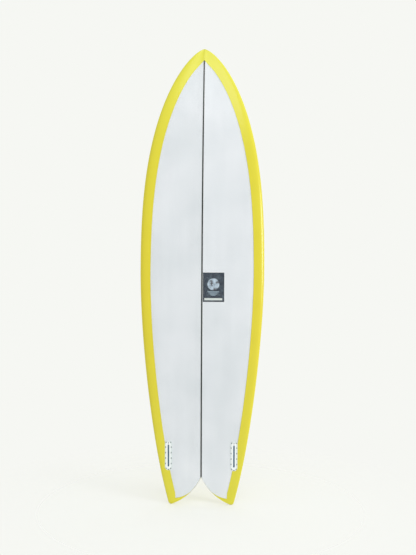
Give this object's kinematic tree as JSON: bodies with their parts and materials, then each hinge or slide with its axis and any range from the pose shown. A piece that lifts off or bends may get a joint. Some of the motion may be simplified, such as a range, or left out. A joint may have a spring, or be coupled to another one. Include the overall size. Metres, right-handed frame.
{
  "type": "surfboard",
  "caption": "Swallow-tailed fish surfboard with a tinted deck lapped onto a clear bottom, dark stringer, empty single-slot fin boxes and a leash plug.",
  "frame": {"origin": "mid length, on the stringer, at mid thickness, where a rack's padded arms hold the board", "axes": "+Z to the nose, -Y out of the bottom face, +Y out of the deck, +X to the right when the bottom is seen nose up"},
  "size_m": [0.5278, 0.1235, 1.9796],
  "materials": {
    "tinted_glass": "polished resin over yellow-tinted cloth",
    "clear_glass": "polished clear resin and cloth",
    "cloth": "resin-soaked glass cloth",
    "paper": "printed tissue",
    "stringer": "dark stained, sanded",
    "glue": "cured glue",
    "foam": "sanded closed-cell polyurethane foam",
    "box_plastic": "moulded, sanded flush",
    "potting_resin": "cured resin",
    "plug_plastic": "moulded",
    "steel": "plain stainless steel"
  },
  "bodies": {
    "board": {"deck_laminate": "tinted_glass", "bottom_laminate": "clear_glass", "deck_patch": "cloth", "paper_panel": "paper", "stringer": "stringer", "glue_line_left": "glue", "glue_line_right": "glue", "foam_left": "foam", "foam_right": "foam", "fin_box_left": "box_plastic", "fin_box_right": "box_plastic", "fin_box_potting_left": "potting_resin", "fin_box_potting_right": "potting_resin", "leash_cup": "plug_plastic", "leash_bar": "steel", "leash_potting": "potting_resin"},
    "left_screw": {"fin_screw_left": "steel"},
    "right_screw": {"fin_screw_right": "steel"}
  },
  "joints": [
    {"name": "left_screw_travel", "type": "slide", "parent": "board", "child": "left_screw", "axis": [-0.0026, -0.935, 0.3546], "range_m": [-0.003, 0.005]},
    {"name": "right_screw_travel", "type": "slide", "parent": "board", "child": "right_screw", "axis": [0.0026, -0.935, 0.3546], "range_m": [-0.003, 0.005]}
  ]
}
